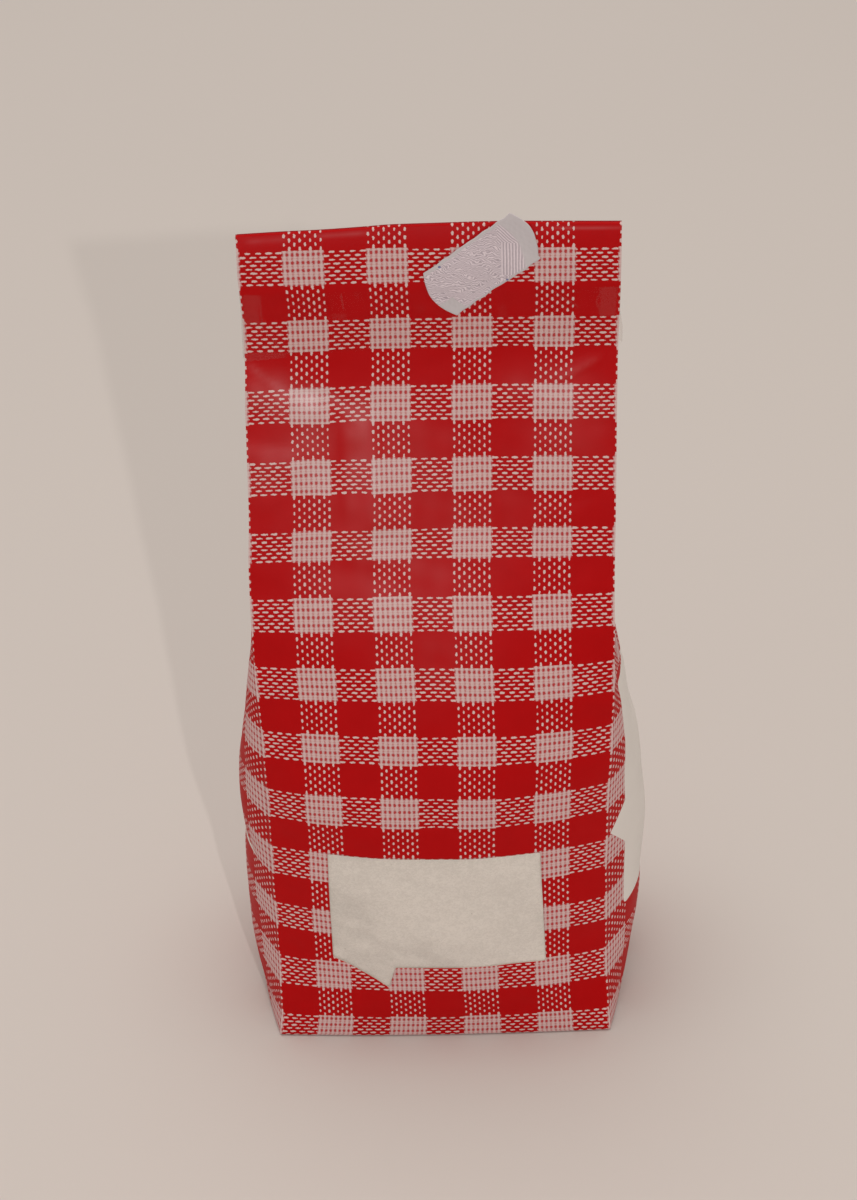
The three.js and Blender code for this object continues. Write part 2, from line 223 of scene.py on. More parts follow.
def wall(u, along):
    """A place on the bag's outer face, in mm, from its place round the bag (in repeats of the
    print, 0 in the middle of the front) and up the paper. Below 0 the paper is folded under."""
    u, along = np.broadcast_arrays(np.asarray(u, float), np.asarray(along, float))
    side, around = np.where(u < 0, -1.0, 1.0), np.abs(u)
    t = np.clip(along, 0, ROLL_END)
    left, right, crease, deep = left_edge(t), right_edge(t), crease_y(t), bag_depth(t)
    half, middle = (left + right) / 2, (right - left) / 2
    edge = np.where(side > 0, right, left)
    leaf = np.minimum(LEAF, deep / 5)
    out = np.where(side > 0, right_out(t), left_out(t))
    # how far the paper has gone round the base edge and under the bag
    past = np.maximum(BASE_RADIUS - along, 0)
    bend = np.minimum(past / BASE_RADIUS, math.pi / 2)
    under = np.maximum(past - BASE_RADIUS * math.pi / 2, 0)
    inset = BASE_RADIUS * (1 - np.cos(bend)) + under
    layer = smooth_step(0.2, 2.5, under)
    toe = np.where(side > 0, toe_right(t), toe_left(t))
    # front panel
    share = np.clip(around / PANEL_REPEATS, 0, 1)
    swell = np.where(side > 0, right_swell(t), 0) * 4 * share * (1 - share)
    front = np.stack([
        middle + side * ((half - inset) * share + spread(t) * share * (1 - share ** 2)),
        (crease - front_bulge(t) * (1 - share ** 2) + inset - toe_middle(t)
         - (toe - toe_middle(t)) * share ** 2 - swell),
        0 * t], -1)
    # side gusset, out over the salt and folded inwards above it
    q = np.clip((around - PANEL_REPEATS) / GUSSET_REPEATS, 0, 1)
    full = np.clip((out + 2) / 6, 0, 1)
    bow, tent = 1 - (2 * q - 1) ** 2, 1 - np.abs(2 * q - 1)
    near = np.clip(q / POCKET_REACH, 0, 1)
    hump = 27 / 4 * near * (1 - near) ** 2  # 1 at its highest
    pocket = np.where(side > 0, pocket_right(t), pocket_left(t)) * hump
    x = edge + out * (bow * full + tent * (1 - full)) + pocket
    squeeze = np.maximum(1 - inset / (deep / 2), 0.02)
    gusset = np.stack([
        side * (x - np.minimum(inset, deep / 2 - 0.4)),
        crease + deep / 2 + (leaf + (deep - 2 * leaf) * q - deep / 2 - toe * (1 - q) ** 2) * squeeze,
        2 * BASE_LAYER * layer], -1)
    # back panel, with one end of the paper lapped over the other at the seam, pressed flat at the top
    b = 1 - (around - PANEL_REPEATS - GUSSET_REPEATS) / PANEL_REPEATS
    lap = smooth_step(0, 0.06, -b) * (1 - 0.9 * smooth_step(200, 212, t))
    share = np.clip(b, -0.25, 1)
    back = np.stack([
        middle + side * (half - inset) * share,
        crease + deep + BACK_BULGE * np.maximum(front_bulge(t), 0) * (1 - share ** 2) - inset + SEAM_LIFT * lap,
        BASE_LAYER * (1 - lap) * layer], -1)
    place = np.where((around <= PANEL_REPEATS)[..., None], front, gusset)
    place = np.where((around > PANEL_REPEATS + GUSSET_REPEATS)[..., None], back, place)
    x, y, z = place[..., 0], place[..., 1], place[..., 2]
    z = z + np.where(along < BASE_RADIUS, BASE_RADIUS * (1 - np.sin(bend)), height_at(t))
    y = y - upper_relief(x, np.clip(along, 0, 222))
    y = y - top_lean(x) * smooth_step(194, 216, along)
    # the top fold: each layer turns at its own radius, after a first soft lean backwards
    start = fold_line(x)
    y = y + ROLL_EASE * np.clip((along - start) / ROLL_EASE_LENGTH + 1, 0, 1) ** 2
    crease = crease_y(start) + ROLL_EASE - top_lean(x)
    over = np.maximum(along - start, 0)
    turn = np.minimum(over / ROLL_RADIUS, math.pi)
    hang = np.maximum(over - math.pi * ROLL_RADIUS, 0)
    radius = np.maximum(ROLL_RADIUS - (y - crease), INNER_ROLL_RADIUS)
    wave = FLAP_WAVE * crumple(x, hang, 31, 30) * smooth_step(0, 12, hang)
    behind = FLAP_SET_BACK * smooth_step(0, 3, hang) + (FLAP_LEAN + top_lean(x)) * hang / FLAP_HANG + wave
    rolled_y = crease + ROLL_RADIUS - radius * np.cos(turn) + behind
    y = np.where(along > start, rolled_y, y)
    z = np.where(along > start, height_at(start) + radius * np.sin(turn) - hang, z)
    x = x * (1 - FLAP_TAPER * smooth_step(0, 8, hang))
    return np.stack([x, y, z], -1)


def outward(u, along):
    """The wall's outward direction."""
    nudge_u, nudge_t = 0.012, 0.25
    across = wall(u + nudge_u, along) - wall(u - nudge_u, along)
    up = wall(u, along + nudge_t) - wall(u, along - nudge_t)
    normal = np.cross(across, up)
    return normal / np.maximum(np.linalg.norm(normal, axis=-1, keepdims=True), 1e-9)


def paper(u, along, inside=0.0):
    """The paper's outer face with its dents, or a face that lies a little inside it."""
    rise = lower_relief(u, along) - inside
    return wall(u, along) + outward(u, along) * rise[..., None]


# the paper's places: round the bag, with close pairs beside each crease, and up the bag
ends = PANEL_REPEATS + GUSSET_REPEATS
back_middle = ends + PANEL_REPEATS
BESIDE_CREASE = 0.012
round_bag = np.unique(np.round(np.concatenate([
    np.linspace(-PANEL_REPEATS, PANEL_REPEATS, 97),
    np.linspace(PANEL_REPEATS, ends, 45), -np.linspace(PANEL_REPEATS, ends, 45),
    np.linspace(ends, back_middle, 31), -np.linspace(ends, back_middle + SEAM_OVERLAP, 37),
    [side * at + off for side in (-1, 1) for at in (PANEL_REPEATS, ends) for off in (-BESIDE_CREASE, BESIDE_CREASE)],
    [-back_middle - 0.03],
]), 6))
paper_top = ROLL_END + math.pi * ROLL_RADIUS + FLAP_HANG
up_bag = np.concatenate([
    np.linspace(-BASE_FLAP, -2, 18), np.linspace(-1.2, BASE_RADIUS, 7), np.linspace(2, 212, 191),
    np.linspace(212, 219, 10)[1:], np.arange(219.3, 224.4, 0.15), np.linspace(224.6, paper_top, 20)])


def print_across_at(u, along):
    """Where a place lies across the print, in repeats. Under the base each panel's paper narrows
    towards its middle, so there the print keeps its size and not its place round the bag."""
    under = np.maximum(BASE_RADIUS - along, 0)
    centre = np.where(np.abs(u) < PANEL_REPEATS, 0, np.sign(u) * (PANEL_REPEATS + GUSSET_REPEATS / 2))
    centre = np.where(np.abs(u) > ends, np.sign(u) * back_middle, centre)
    on_gusset = (np.abs(u) >= PANEL_REPEATS) & (np.abs(u) <= ends)
    reach = np.where(on_gusset, GUSSET_HALF, PANEL_HALF)
    return centre + (u - centre) * np.maximum(1 - under / reach, 0.02)


columns, rows = np.meshgrid(round_bag, up_bag)
paper_places = paper(columns, rows)
# how far up the print each place is: on the front as laid out, elsewhere by the paper's own length
steps_up = np.linalg.norm(np.diff(wall(columns, rows), axis=0), axis=-1)
lengths = np.zeros_like(columns)
lengths[1:] = np.cumsum(steps_up, axis=0)
lengths = lengths - lengths[np.argmin(np.abs(up_bag))]
lengths = np.where(np.abs(columns) <= PANEL_REPEATS, rows, lengths)
print_across, print_down = print_across_at(columns, rows), BASE_REPEAT - lengths / PRINT_REPEAT

# the window's outline in repeats, across and down, cut through the front panel
WINDOW = [
    (-1.49, 8.78), (-1.49, 10.645), (-1.265, 10.76), (-0.965, 10.98), (-0.736, 11.18),
    (-0.64, 10.79), (1.41, 10.79), (1.345, 8.78)]
WINDOW_ROUNDING = 0.045
WINDOW_SPACING = 0.04
WINDOW_CLEAR = 0.03  # how near its edge the paper's own places are left out
PATCH_ACROSS, PATCH_UP = (-1.62, 1.58), (13.5, 61.5)  # what is laid out anew: repeats, mm


def rounded_outline(corners, cut, spacing):
    """The outline with its corners rounded, as closely spaced points."""
    points = []
    for k, corner in enumerate(corners):
        corner, before, after = (Vector(corners[(k + d) % len(corners)]) for d in (0, -1, 1))
        back, on = before - corner, after - corner
        start = corner + back.normalized() * min(cut, back.length / 3)
        end = corner + on.normalized() * min(cut, on.length / 3)
        points += [start.lerp(corner, s).lerp(corner.lerp(end, s), s) for s in (0, 0.25, 0.5, 0.75, 1)]
        last = after - on.normalized() * min(cut, on.length / 3)
        count = max(int((last - end).length / spacing), 1)
        points += [end.lerp(last, s / count) for s in range(1, count)]
    return points


def inside_outline(point, outline):
    x, y = point
    inside = False
    for (x0, y0), (x1, y1) in zip(outline, outline[1:] + outline[:1]):
        if (y0 > y) != (y1 > y) and x < x0 + (y - y0) * (x1 - x0) / (y1 - y0):
            inside = not inside
    return inside


window_points = [
    (across, BASE_REPEAT - down) for across, down in rounded_outline(WINDOW, WINDOW_ROUNDING, WINDOW_SPACING)]
first_column, last_column = np.searchsorted(round_bag, PATCH_ACROSS)
first_row, last_row = np.searchsorted(up_bag, PATCH_UP)
column_count = len(round_bag)

vertices = [tuple(p * MM) for p in paper_places.reshape(-1, 3)]
prints = list(zip(print_across.ravel(), print_down.ravel()))
faces = []
for row in range(len(up_bag) - 1):
    for column in range(column_count - 1):
        if first_row <= row < last_row and first_column <= column < last_column:
            continue
        start = row * column_count + column
        faces.append((start, start + 1, start + column_count + 1, start + column_count))

# round the window the mesh is laid out anew, so that its edge is exact
flat_points, known = [], []
for row in range(first_row, last_row + 1):
    for column in range(first_column, last_column + 1):
        place = (round_bag[column], up_bag[row] / PRINT_REPEAT)
        on_border = row in (first_row, last_row) or column in (first_column, last_column)
        near = min(math.dist(place, p) for p in window_points) < WINDOW_CLEAR
        if on_border or not (near or inside_outline(place, window_points)):
            flat_points.append(Vector(place))
            known.append(row * column_count + column)
edge_start, edge_count = len(flat_points), len(window_points)
flat_points += [Vector(p) for p in window_points]
outline_edges = [(edge_start + k, edge_start + (k + 1) % edge_count) for k in range(edge_count)]
laid, _, triangles, origins, _, _ = delaunay_2d_cdt(flat_points, outline_edges, [], 0, 1e-6)
numbers = []
for place, origin in zip(laid, origins):
    if origin and origin[0] < edge_start:
        numbers.append(known[origin[0]])
    else:
        numbers.append(len(vertices))
        along = place[1] * PRINT_REPEAT
        vertices.append(tuple(paper(np.float64(place[0]), np.float64(along)) * MM))
        prints.append((place[0], BASE_REPEAT - place[1]))
for triangle in triangles:
    middle = sum((laid[k] for k in triangle), Vector((0, 0))) / 3
    if not inside_outline(middle, window_points):
        faces.append(tuple(numbers[k] for k in triangle))


def make_piece(name, places, polygons, marks=None):
    """A mesh piece from its corners in metres, with print coordinates where it has them."""
    mesh = bpy.data.meshes.new(name)
    mesh.from_pydata(places, [], polygons)
    mesh.validate()
    if marks is not None:
        layer = mesh.uv_layers.new(name="print")
        corners = np.empty(len(mesh.loops), int)
        mesh.loops.foreach_get("vertex_index", corners)
        layer.data.foreach_set("uv", np.array(marks, float)[corners].ravel())
    mesh.shade_smooth()
    piece = bpy.data.objects.new(name, mesh)
    bpy.context.scene.collection.objects.link(piece)
    return piece


class Tone:
    """One value, colour or vector of a finish. Arithmetic on it adds Math nodes."""

    def __init__(self, tree, socket):
        self.tree, self.socket = tree, socket

    def node(self, kind, settings, inputs, output=0):
        made = self.tree.nodes.new(kind)
        for name, value in settings.items():
            setattr(made, name, value)
        for name, value in inputs.items():
            if isinstance(value, Tone):
                self.tree.links.new(value.socket, made.inputs[name])
            else:
                made.inputs[name].default_value = value
        return Tone(self.tree, made.outputs[output])

    def maths(self, operation, *values):
        return self.node("ShaderNodeMath", {"operation": operation}, dict(enumerate(values)))

    def __add__(self, other): return self.maths("ADD", self, other)
    def __radd__(self, other): return self.maths("ADD", other, self)
    def __sub__(self, other): return self.maths("SUBTRACT", self, other)
    def __rsub__(self, other): return self.maths("SUBTRACT", other, self)
    def __mul__(self, other): return self.maths("MULTIPLY", self, other)
    def __rmul__(self, other): return self.maths("MULTIPLY", other, self)
    def __truediv__(self, other): return self.maths("DIVIDE", self, other)
    def __pow__(self, other): return self.maths("POWER", self, other)
    def __mod__(self, other): return self.maths("FLOORED_MODULO", self, other)
    def __gt__(self, other): return self.maths("GREATER_THAN", self, other)
    def __lt__(self, other): return self.maths("LESS_THAN", self, other)
    def __abs__(self): return self.maths("ABSOLUTE", self)
    def floor(self): return self.maths("FLOOR", self)
    def least(self, other): return self.maths("MINIMUM", self, other)
    def most(self, other): return self.maths("MAXIMUM", self, other)
    def swing(self, reach): return self.maths("PINGPONG", self, reach)

    def between(self, low, high):
        return self.node("ShaderNodeMapRange", {"interpolation_type": "SMOOTHSTEP"}, {0: self, 1: low, 2: high})

    def blend(self, first, second):
        """From the first colour to the second as this value goes from 0 to 1."""
        inputs = {0: self, 6: first, 7: second}
        return self.node("ShaderNodeMix", {"data_type": "RGBA", "clamp_factor": True}, inputs, 2)

    def noise(self, scale, detail=2.0, rough=0.5):
        """Uneven noise about 0.5 over this vector."""
        inputs = {"Vector": self, "Scale": scale, "Detail": detail, "Roughness": rough}
        return self.node("ShaderNodeTexNoise", {}, inputs)

    def split(self):
        made = self.node("ShaderNodeSeparateXYZ", {}, {0: self}).socket.node
        return [Tone(self.tree, socket) for socket in made.outputs]

    def join(self, x, y, z=0.0):
        return self.node("ShaderNodeCombineXYZ", {}, {0: x, 1: y, 2: z})


def start_finish(name):
    """A new material and a tone to make its others from."""
    material = bpy.data.materials.new(name)
    material.use_nodes = True
    material.node_tree.nodes.clear()
    return material, Tone(material.node_tree, None)


def close_finish(tone, shader):
    out = tone.tree.nodes.new("ShaderNodeOutputMaterial")
    tone.tree.links.new(shader.socket, out.inputs[0])


def rgb(red, green, blue):
    return (red, green, blue, 1.0)


INK_RED = rgb(0.555, 0.0012, 0.003)
INK_DEEP = rgb(0.495, 0.0006, 0.002)
PAPER_WHITE = rgb(0.79, 0.63, 0.635)
THREAD_PINK = rgb(0.64, 0.35, 0.37)
PLAIN_WHITE = rgb(0.92, 0.91, 0.89)
PLAIN_SHADE = rgb(0.86, 0.85, 0.83)
WORN_CREASE = rgb(0.70, 0.42, 0.40)
# painted shade: a dark ink laid along the top fold in place of the fold's shade
PAINTED_FOLD_SHADE = rgb(0.10, 0.004, 0.010)
# threads of the weave: across one repeat, down one, and down three, after which the rows repeat
WARP_COUNT = 16
WEFT_CYCLE = 53
WEFT_COUNT = WEFT_CYCLE / 3
SHAKE = 0.34  # of a thread, how unevenly the threads lie

printed, tone = start_finish("printed paper")
across, down, _ = tone.node("ShaderNodeUVMap", {"uv_map": "print"}, {}).split()
plane = tone.join(across, down)
shake_x, shake_y, _ = tone.node("ShaderNodeTexNoise", {}, {"Vector": plane, "Scale": 46.0, "Detail": 1.0}, 1).split()
warp_at = WARP_COUNT * (across - 0.25)
weft_at = WEFT_COUNT * (down - 2) + 4.6
warp_shaky = warp_at + SHAKE * (shake_x - 0.5)
weft_shaky = weft_at + SHAKE * (shake_y - 0.5)
white_column = ((across - 0.25) % 1) < 0.5
# white rows are 9, 9 and 8 threads high, with 9 red ones between them
row_place = weft_at % WEFT_CYCLE
white_row = (row_place % 18 < 9) * (row_place < 44).most(row_place > 45)
warp, weft = warp_shaky.floor(), weft_shaky.floor()
warp_off = abs(warp_shaky % 1 - 0.5)
weft_off = abs(weft_shaky % 1 - 0.5)
speckle = tone.node("ShaderNodeTexWhiteNoise", {"noise_dimensions": "2D"}, {"Vector": tone.join(warp, weft)})
girth = 0.62 + 0.70 * speckle
# upright dots where a white column crosses red threads
dot_down = (weft_shaky - (1.5 - warp % 2)).swing(1.0)
near_row = (row_place % 18 < 9.5).least((row_place < 44.5).most(row_place > 45.5))
by_row = near_row.most(row_place % 18 > 17.5).most(row_place > 52.5) * (dot_down < 0.5)
dot_down = dot_down * (1 - by_row)
dot = (((warp_off / 0.22) ** 2 + (dot_down / 0.46) ** 2) / girth).between(1.3, 0.7)
# flat dashes where a white row crosses red threads
dash_across = (warp_shaky - (0.5 + weft % 2)).swing(1.0)
column_phase = warp_at % WARP_COUNT
by_column = ((column_phase < 8.5).most(column_phase > 15.5)) * (dash_across < 0.5)
dash_across = dash_across * (1 - by_column)
dash = (((dash_across / 0.64) ** 2 + (weft_off / 0.26) ** 2) / girth).between(1.3, 0.7)
# red gaps between the threads of a white square
gap_across = abs((warp_shaky + 0.5) % 1 - 0.5)
hole_down = weft_shaky.swing(1.0)
hole_far = (gap_across / 0.27) ** 2 + (hole_down / 0.46) ** 2
hole = hole_far.between(1.3, 0.6)
faint_hole = ((gap_across / 0.22) ** 2 + ((1 - hole_down) / 0.32) ** 2).between(1.4, 0.4) * (0.28 + 0.3 * speckle)
white = white_column * (1 - white_row) * dot + (1 - white_column) * white_row * dash
square = white_column * white_row
cloudy = plane.noise(3.0, 3.0)
fine = plane.noise(150.0, 2.0)
ink = (0.35 * cloudy + 0.65 * fine).between(0.30, 0.72).blend(INK_DEEP, INK_RED)
seams = hole_far.between(3.4, 1.2).most(weft_off.between(0.36, 0.48) * 0.5)
threads = (seams * 0.8 + 0.5 * fine - 0.12).blend(PAPER_WHITE, THREAD_PINK)
woven = white.blend(ink, PAPER_WHITE)
woven = square.blend(woven, (hole * 0.85).most(faint_hole).blend(threads, ink))


def speech_field(middle, half, rounding, tail):
    """1 inside a plain field with round corners and a pointed tail, in repeats."""
    wide = abs(across - middle[0]) - (half[0] - rounding)
    high = abs(down - middle[1]) - (half[1] - rounding)
    box = (wide.most(0.0) ** 2 + high.most(0.0) ** 2) ** 0.5 < rounding
    (tip_x, tip_y), (top_x, top_y), (low_x, low_y) = tail
    upper = (across - tip_x) * (top_y - tip_y) - (down - tip_y) * (top_x - tip_x)
    lower = (across - tip_x) * (low_y - tip_y) - (down - tip_y) * (low_x - tip_x)
    turn = 1 if tip_x < top_x else -1
    reach = (turn * (across - tip_x) > 0) * (turn * (top_x - across) > -0.02)
    return box.most((turn * upper < 0) * (turn * lower > 0) * reach)


field = speech_field((3.805, 8.35), (1.125, 1.98), 0.09, ((2.34, 8.73), (2.72, 8.38), (2.72, 9.22)))
field = field.most(speech_field((-4.25, 8.5), (0.68, 0.95), 0.16, ((-2.62, 9.25), (-3.60, 8.86), (-3.60, 9.30))))
woven = field.blend(woven, (0.5 * fine + 0.5 * cloudy).blend(PLAIN_WHITE, PLAIN_SHADE))
# ink rubbed thin along the folded creases
to_crease = abs(abs(across) - PANEL_REPEATS).least(abs(abs(across) - ends))
rubbed = to_crease.between(0.022, 0.004) * plane.noise(30.0, 3.0).between(0.48, 0.66) * 0.2
woven = rubbed.blend(woven, WORN_CREASE)
grain = plane.noise(34.0, 4.0, 0.6)
paper_bump = tone.node("ShaderNodeBump", {}, {"Strength": 0.25, "Distance": 0.00012, "Height": grain})
# two marks on the mesh, made below: where the glaze shines, and painted shade, a darker ink where the paper turns
# over the top fold
gleam = tone.node("ShaderNodeAttribute", {"attribute_name": "gleam"}, {}, 2)
fold_shade = tone.node("ShaderNodeAttribute", {"attribute_name": "fold_shade"}, {}, 2)
on_side = (abs(across) > PANEL_REPEATS) * (abs(across) < ends)
# the base colour darkens along the top fold: painted shade
close_finish(tone, tone.node("ShaderNodeBsdfPrincipled", {}, {
    "Base Color": (fold_shade * 0.6).blend(woven, PAINTED_FOLD_SHADE), "Roughness": 0.31 + 0.08 * cloudy + 0.2 * on_side,
    "Specular IOR Level": 0.08, "Coat Weight": gleam * (0.75 + 0.5 * fine) * (1 + 1.3 * square),
    "Coat Roughness": 0.48, "Coat IOR": 1.65, "Normal": paper_bump}))

RAW_LIGHT, RAW_DARK = rgb(0.80, 0.72, 0.66), rgb(0.70, 0.62, 0.56)
raw_paper, tone = start_finish("unprinted paper")
fibre = tone.node("ShaderNodeNewGeometry", {}, {}).noise(900.0, 3.0)
close_finish(tone, tone.node("ShaderNodeBsdfPrincipled", {}, {
    "Base Color": fibre.between(0.3, 0.7).blend(RAW_DARK, RAW_LIGHT), "Roughness": 0.8}))

bag = make_piece("paper_bag", vertices, faces, prints)

# where the thin glaze is rubbed smooth and shines more, in mm over the front: its middle, half
# sizes and how much, then lines with start, end, width and how much, and lines where it doesn't
GLOSSY_PATCHES = [
    (-34.5, 181.5, 4.5, 4.5, 0.95), (-27, 178, 6, 4, 0.85), (-15.5, 173.5, 3.2, 5, 0.75), (-25.5, 170.5, 3, 5, 0.35),
    (-36, 163, 6, 5, 0.4), (-18, 167, 24, 9, 0.32), (-14.5, 157, 5, 16, 0.25), (-6, 150, 27, 12, 0.28),
    (-10, 131, 18, 9, 0.3), (0, 113, 11, 8, 0.18), (20, 182, 6, 5, 0.2), (30, 180, 8, 6, 0.3), (30, 168, 10, 8, 0.25),
    (7, 88, 1.6, 3.0, 0.3),
]
GLOSSY_LINES = [
    ((-39, 188.5), (-30, 180), 1.5, 0.6), ((-31, 181), (-20, 179), 1.6, 0.5), ((-22, 180.5), (-14, 172), 1.8, 0.6),
    ((-41, 168), (-28, 165.6), 1.8, 0.25), ((36.5, 188.5), (26, 182), 1.4, 0.5),
    ((-38, 219.0), (-29, 219.4), 1.2, 0.35), ((-24, 219.8), (-12, 220.3), 1.0, 0.55),
    ((26, 221.2), (42, 221.0), 0.7, 0.8),
]
MATT_LINES = [
    ((-19.5, 176), (-19.5, 148), 2.2, 0.8), ((13, 184), (12.5, 150), 3.0, 0.8), ((-11, 178), (-10, 150), 2.0, 0.4)]
WINDOW_TOP = 60
print_places = np.array(prints)
x, along = np.array(vertices)[:, 0] / MM, (BASE_REPEAT - print_places[:, 1]) * PRINT_REPEAT
facing = (np.abs(print_places[:, 0]) < PANEL_REPEATS) & (along > WINDOW_TOP)
gleam = sum(
    much * np.exp(-(((x - middle_x) / half_x) ** 2 + ((along - middle_t) / half_t) ** 2) ** 1.3)
    for middle_x, middle_t, half_x, half_t, much in GLOSSY_PATCHES)
gleam = gleam + sum(much * ridge(x, along, start, end, width) for start, end, width, much in GLOSSY_LINES)
for start, end, width, much in MATT_LINES:
    gleam = gleam * (1 - much * ridge(x, along, start, end, width))
gleam = gleam * (0.85 + 0.25 * crumple(x, along, 61, 9)) * facing
# painted shade: the ink darkens in a thin line just past the start of the top fold
past_fold = along - fold_line(x)
fold_shade = smooth_step(0.3, 0.7, past_fold) * smooth_step(2.2, 1.2, past_fold)
for name, amounts in (("gleam", np.clip(gleam, 0, 1)), ("fold_shade", fold_shade)):
    bag.data.attributes.new(name, "FLOAT", "POINT").data.foreach_set("value", amounts.astype(np.float32))
bag.data.materials.append(printed)
bag.data.materials.append(raw_paper)
SHARP_FOLD = math.radians(42)
bag.data.set_sharp_from_angle(angle=SHARP_FOLD)
thick = bag.modifiers.new("paper thickness", "SOLIDIFY")
thick.thickness, thick.offset = PAPER_THICKNESS * MM, -1
thick.material_offset, thick.material_offset_rim = 1, 1
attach(bag, "root")
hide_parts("bag")

# ---- the salt
# Fine sea salt pressed against the window's film by its own weight. Only its front shows.
SALT_TOP = 88.0
SALT_INSIDE = 0.27  # mm behind the paper's outer face
SALT_LIGHT, SALT_DARK = rgb(0.965, 0.955, 0.935), rgb(0.86, 0.85, 0.83)
SPECK = rgb(0.20, 0.15, 0.11)
rest_of_round = np.linspace(1.8, back_middle, 26)
salt_round = np.unique(np.round(np.concatenate([np.linspace(-1.7, 1.6, 130), rest_of_round, -rest_of_round]), 6))
salt_round = salt_round[:-1]
salt_up = np.unique(np.round(np.concatenate([
    np.linspace(13, 63, 112), np.linspace(1.5, 12, 4), np.linspace(64, SALT_TOP - 2, 8)]), 4))
columns, rows = np.meshgrid(salt_round, salt_up)
draw = np.random.default_rng(5)
lumps = 0.05 * crumple(columns * PRINT_REPEAT, rows, 41, 9) + 0.02 * draw.normal(size=columns.shape)
near_window = (np.abs(columns) < 1.75) & (rows > 12) & (rows < 64)
salt_places = paper(columns, rows, SALT_INSIDE) + outward(columns, rows) * np.where(
    near_window, np.minimum(lumps - 0.03, 0.06), lumps - 0.5)[..., None]
count = len(salt_round)
ring_faces = [
    (row * count + column, row * count + (column + 1) % count,
     (row + 1) * count + (column + 1) % count, (row + 1) * count + column)
    for row in range(len(salt_up) - 1) for column in range(count)]
salt_vertices = list(salt_places.reshape(-1, 3))


def close_over(ring, centre, levels, flip):
    """Rings that run in to the middle, as the top heap or, flipped, the bottom of the salt."""
    start = 0 if flip else len(salt_vertices) - count
    before = [start + k for k in range(count)]
    for share, rise in levels:
        now = [len(salt_vertices) + k for k in range(count)]
        for k in range(count):
            x, y, z = centre + (ring[k] - centre) * share
            bumps = 0 if flip else 0.5 * float(crumple(x, y, 43, 16))
            salt_vertices.append(np.array([x, y, ring[k][2] + rise + bumps]))
        for k in range(count):
            following = (k + 1) % count
            face = (before[k], before[following], now[following], now[k])
            ring_faces.append(face[::-1] if flip else face)
        before = now
    ring_faces.append(tuple(before[::-1]) if flip else tuple(before))


HEAP_RISES, BOTTOM_RISES = (0.8, 1.6, 2.0, 1.2, 0.9), (-0.5,) * 5
for ring, flip, rises in ((salt_places[-1], False, HEAP_RISES), (salt_places[0], True, BOTTOM_RISES)):
    close_over(ring, ring.mean(axis=0), list(zip((0.9, 0.7, 0.5, 0.3, 0.1), rises)), flip)
salt = make_piece("salt_fill", [tuple(p * MM) for p in salt_vertices], ring_faces)

salt_finish, tone = start_finish("sea salt")
place = tone.node("ShaderNodeNewGeometry", {}, {})
grains = place.node("ShaderNodeTexVoronoi", {}, {"Vector": place, "Scale": 2600.0}, 1)
clumps, drift = place.noise(420.0, 4.0, 0.65), place.noise(45.0, 2.0)
each_grain = grains.node("ShaderNodeSeparateColor", {}, {0: grains})
shade = (0.45 * clumps + 0.3 * drift + 0.25 * each_grain).between(0.32, 0.68)
colour = shade.blend(SALT_DARK, SALT_LIGHT)
specks = place.noise(700.0, 1.0).between(0.80, 0.84) * 0.35
colour = specks.blend(colour, SPECK)
salt_bump = tone.node("ShaderNodeBump", {}, {"Strength": 0.5, "Distance": 0.0002, "Height": clumps})
close_finish(tone, tone.node("ShaderNodeBsdfPrincipled", {}, {
    "Base Color": colour, "Roughness": 0.75, "Specular IOR Level": 0.25, "Normal": salt_bump}))
salt.data.materials.append(salt_finish)
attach(salt, "root")
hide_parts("salt")

# ---- the window film
# A clear film glued behind the opening, drawn into faint slanting creases at its upper right.
FILM_INSIDE = 0.18  # mm behind the paper's outer face
FILM_ACROSS, FILM_UP = (-1.66, 1.56), (14.0, 62.0)  # repeats, mm
FILM_CREASES = [
    ((2, 47), (20, 55), 1.6, 0.10), ((8, 41), (23, 49), 1.4, 0.08), ((14, 50), (23, 57), 1.2, 0.08),
    ((-24, 30), (-20, 38), 1.4, 0.06), ((10, 20), (22, 25), 1.6, 0.05)]
columns, rows = np.meshgrid(np.linspace(*FILM_ACROSS, 90), np.linspace(*FILM_UP, 78))
creases = sum(
    rise * ridge(columns * PRINT_REPEAT, rows, start, end, width) for start, end, width, rise in FILM_CREASES)
film_places = paper(columns, rows, FILM_INSIDE) + outward(columns, rows) * (creases - 0.02)[..., None]
width = columns.shape[1]
film = make_piece("film", [tuple(p * MM) for p in film_places.reshape(-1, 3)], [
    (row * width + k, row * width + k + 1, (row + 1) * width + k + 1, (row + 1) * width + k)
    for row in range(columns.shape[0] - 1) for k in range(width - 1)])
film_finish, tone = start_finish("clear film")
gloss = tone.node("ShaderNodeBsdfPrincipled", {}, {
    "Base Color": rgb(0.75, 0.74, 0.72), "Roughness": 0.28, "Specular IOR Level": 0.5})
clear = tone.node("ShaderNodeBsdfTransparent", {}, {"Color": rgb(0.99, 0.985, 0.975)})
edge_on = tone.node("ShaderNodeFresnel", {}, {"IOR": 1.45})
haze = tone.node("ShaderNodeNewGeometry", {}, {}).noise(60.0, 2.0).between(0.4, 0.75) * 0.05
close_finish(tone, tone.node("ShaderNodeMixShader", {}, {0: edge_on * 0.4 + haze, 1: clear, 2: gloss}))
film.data.materials.append(film_finish)
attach(film, "root")
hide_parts("window_film")

# ---- the clear tape
# One strip of clear tape goes round the folded top, over the end of the flap at the back.
# It lifts at the side folds, where it bridges from the front to the back.
TAPE_TOP = 206.1
TAPE_WIDTH = 15.4
TAPE_SLANT = 0.35  # how much higher the tape runs at its right end
TAPE_DROOP = 1.3  # how much wider the strip looks at its left end, where it is pulled down
TAPE_OFF = 0.14
TAPE_SLACK = 0.135  # more room where the tape comes down from the flap to the back panel
TAPE_FRONT, TAPE_SIDE = 84, 9  # places across the front and on each side
HALF_FRONT = 40
tape_levels = np.linspace(0, 1, 19)


